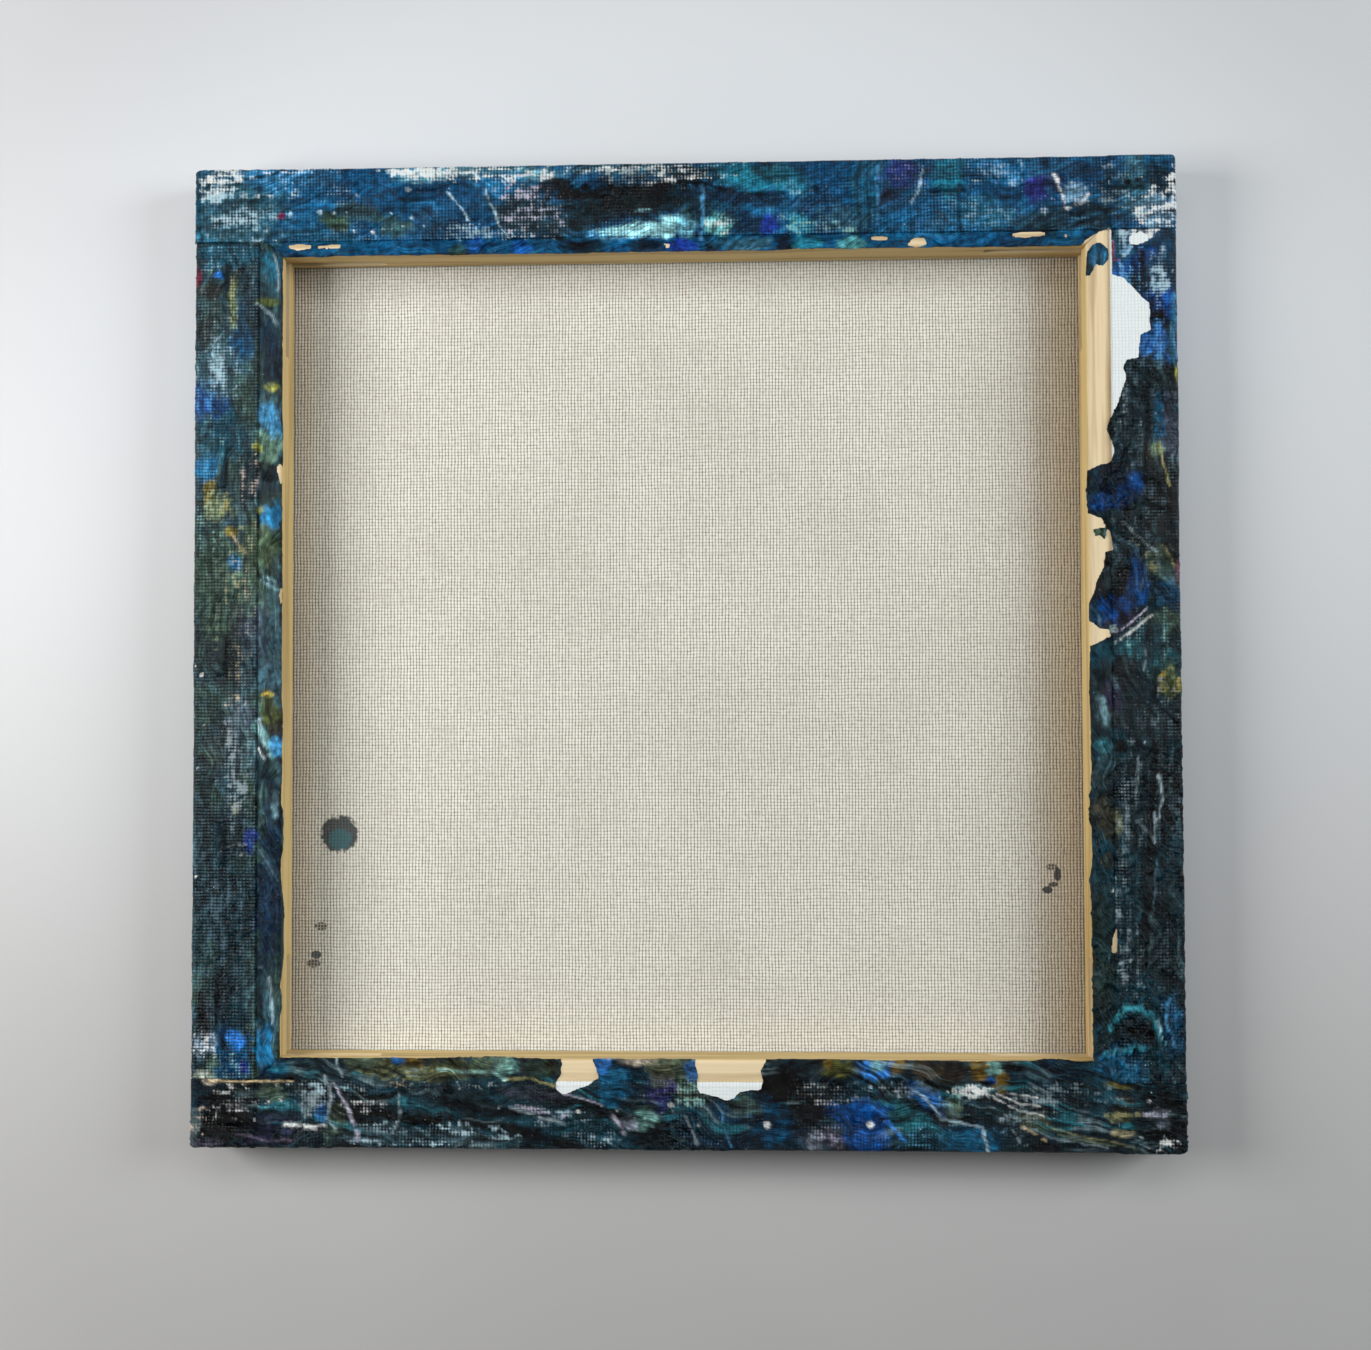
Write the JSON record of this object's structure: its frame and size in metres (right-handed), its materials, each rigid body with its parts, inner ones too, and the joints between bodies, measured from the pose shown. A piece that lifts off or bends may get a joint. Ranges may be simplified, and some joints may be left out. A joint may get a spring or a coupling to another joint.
{
  "type": "stretched canvas",
  "caption": "Square canvas stapled over a mitred pine stretcher frame, with abstract acrylic paint on its face and edges and over its turned-back flaps.",
  "frame": {"origin": "middle of the painted face, on the surface that the canvas lies on", "axes": "+Z out of the back of the canvas, +Y to its top edge, +X to the right when seen from behind"},
  "size_m": [0.3, 0.3, 0.0188],
  "materials": {
    "bar_wood": "planed pine, bare",
    "canvas": "plain weave, raw behind and primed white in front",
    "staple_steel": "galvanised wire",
    "face_paint": "dried acrylic paint, satin, brushed and scumbled",
    "edge_paint": "dried acrylic paint, satin, brushed and scumbled"
  },
  "bodies": {
    "root": {"bar_top": "bar_wood", "bar_right": "bar_wood", "bar_bottom": "bar_wood", "bar_left": "bar_wood", "canvas_sheet": "canvas", "staples_top": "staple_steel", "staples_right": "staple_steel", "staples_bottom": "staple_steel", "staples_left": "staple_steel", "paint_front": "face_paint", "paint_wrap_top": "edge_paint", "paint_wrap_right": "edge_paint", "paint_wrap_bottom": "edge_paint", "paint_wrap_left": "edge_paint"}
  },
  "joints": []
}
